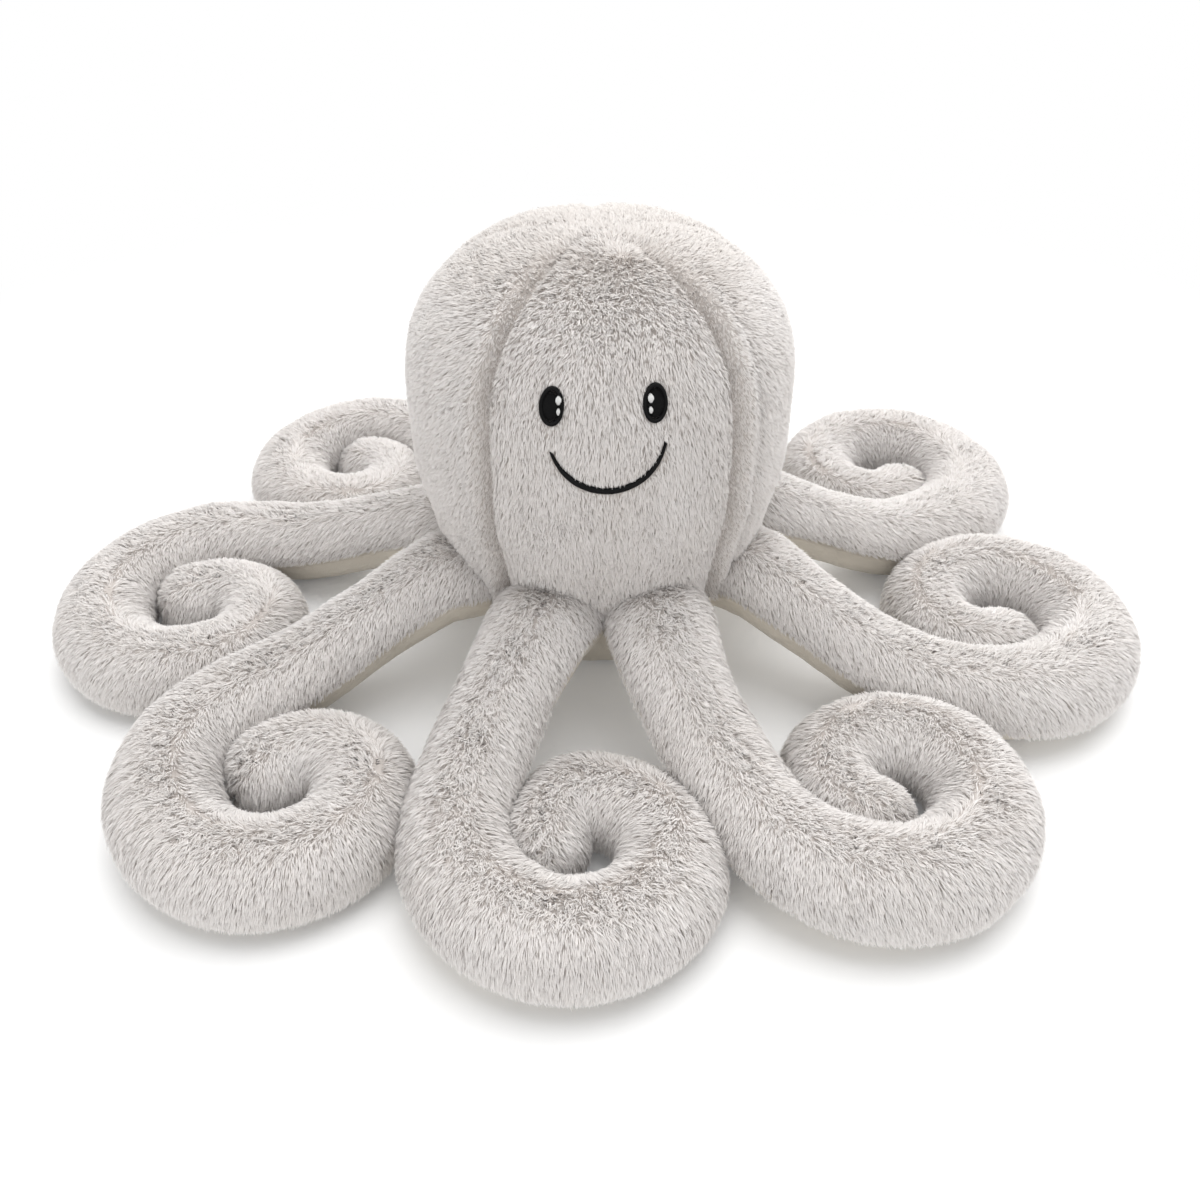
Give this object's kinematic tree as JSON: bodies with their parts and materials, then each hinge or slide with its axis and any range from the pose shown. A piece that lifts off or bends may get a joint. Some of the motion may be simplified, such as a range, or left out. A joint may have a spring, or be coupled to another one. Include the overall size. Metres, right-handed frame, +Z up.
{
  "type": "plush octopus",
  "caption": "Stuffed soft toy octopus in long-pile plush, with a domed smiling head and curled tentacles that hinge up at their roots.",
  "frame": {"origin": "on the floor, at the middle of the flat under the head", "axes": "+Z up, along the head's axis; -Y is the way the face looks; +X is to the right when facing the face"},
  "size_m": [0.59, 0.5433, 0.2303],
  "materials": {
    "grey_plush": "long-pile plush, matt",
    "cream_suede": "short-nap suede cloth, matt",
    "fibre_filling": "loose polyester fibre",
    "pellet_pouch_cloth": "plain woven cloth",
    "black_thread": "satin stitch, soft sheen",
    "white_thread": "satin stitch, soft sheen"
  },
  "bodies": {
    "head": {"head_filling": "fibre_filling", "pellet_pouch": "pellet_pouch_cloth", "base_panel": "cream_suede", "face_panel": "grey_plush", "right_side_panel": "grey_plush", "back_right_panel": "grey_plush", "back_left_panel": "grey_plush", "left_side_panel": "grey_plush", "left_eye": "black_thread", "right_eye": "black_thread", "mouth_stitching": "black_thread", "left_eye_upper_glint": "white_thread", "left_eye_lower_glint": "white_thread", "right_eye_upper_glint": "white_thread", "right_eye_lower_glint": "white_thread"},
    "front_tentacle": {"front_tentacle_plush": "grey_plush", "front_tentacle_underside": "cream_suede", "front_tentacle_filling": "fibre_filling"},
    "front_left_tentacle": {"front_left_tentacle_plush": "grey_plush", "front_left_tentacle_underside": "cream_suede", "front_left_tentacle_filling": "fibre_filling"},
    "left_tentacle": {"left_tentacle_plush": "grey_plush", "left_tentacle_underside": "cream_suede", "left_tentacle_filling": "fibre_filling"},
    "back_left_tentacle": {"back_left_tentacle_plush": "grey_plush", "back_left_tentacle_underside": "cream_suede", "back_left_tentacle_filling": "fibre_filling"},
    "back_tentacle": {"back_tentacle_plush": "grey_plush", "back_tentacle_underside": "cream_suede", "back_tentacle_filling": "fibre_filling"},
    "back_right_tentacle": {"back_right_tentacle_plush": "grey_plush", "back_right_tentacle_underside": "cream_suede", "back_right_tentacle_filling": "fibre_filling"},
    "right_tentacle": {"right_tentacle_plush": "grey_plush", "right_tentacle_underside": "cream_suede", "right_tentacle_filling": "fibre_filling"},
    "front_right_tentacle": {"front_right_tentacle_plush": "grey_plush", "front_right_tentacle_underside": "cream_suede", "front_right_tentacle_filling": "fibre_filling"}
  },
  "joints": [
    {"name": "front_tentacle_lift", "type": "hinge", "parent": "head", "child": "front_tentacle", "pos_m": [-0.03305, -0.0894, 0.061], "axis": [-0.982, -0.1891, 0], "range_deg": [0, 45]},
    {"name": "front_left_tentacle_lift", "type": "hinge", "parent": "head", "child": "front_left_tentacle", "pos_m": [-0.0836, -0.04578, 0.05978], "axis": [-0.8652, 0.5015, 0], "range_deg": [0, 45]},
    {"name": "left_tentacle_lift", "type": "hinge", "parent": "head", "child": "left_tentacle", "pos_m": [-0.09356, 0.01817, 0.05124], "axis": [-0.3453, 0.9385, 0], "range_deg": [0, 45]},
    {"name": "back_left_tentacle_lift", "type": "hinge", "parent": "head", "child": "back_left_tentacle", "pos_m": [-0.05563, 0.07739, 0.05856], "axis": [0.3923, 0.9198, 0], "range_deg": [0, 45]},
    {"name": "back_tentacle_lift", "type": "hinge", "parent": "head", "child": "back_tentacle", "pos_m": [0.03352, 0.08922, 0.05856], "axis": [0.9829, 0.1839, 0], "range_deg": [0, 45]},
    {"name": "back_right_tentacle_lift", "type": "hinge", "parent": "head", "child": "back_right_tentacle", "pos_m": [0.09236, 0.02355, 0.05978], "axis": [0.7132, -0.7009, 0], "range_deg": [0, 45]},
    {"name": "right_tentacle_lift", "type": "hinge", "parent": "head", "child": "right_tentacle", "pos_m": [0.08553, -0.04207, 0.05856], "axis": [0.0872, -0.9962, 0], "range_deg": [0, 45]},
    {"name": "front_right_tentacle_lift", "type": "hinge", "parent": "head", "child": "front_right_tentacle", "pos_m": [0.03603, -0.08824, 0.061], "axis": [-0.5962, -0.8028, 0], "range_deg": [0, 45]}
  ]
}
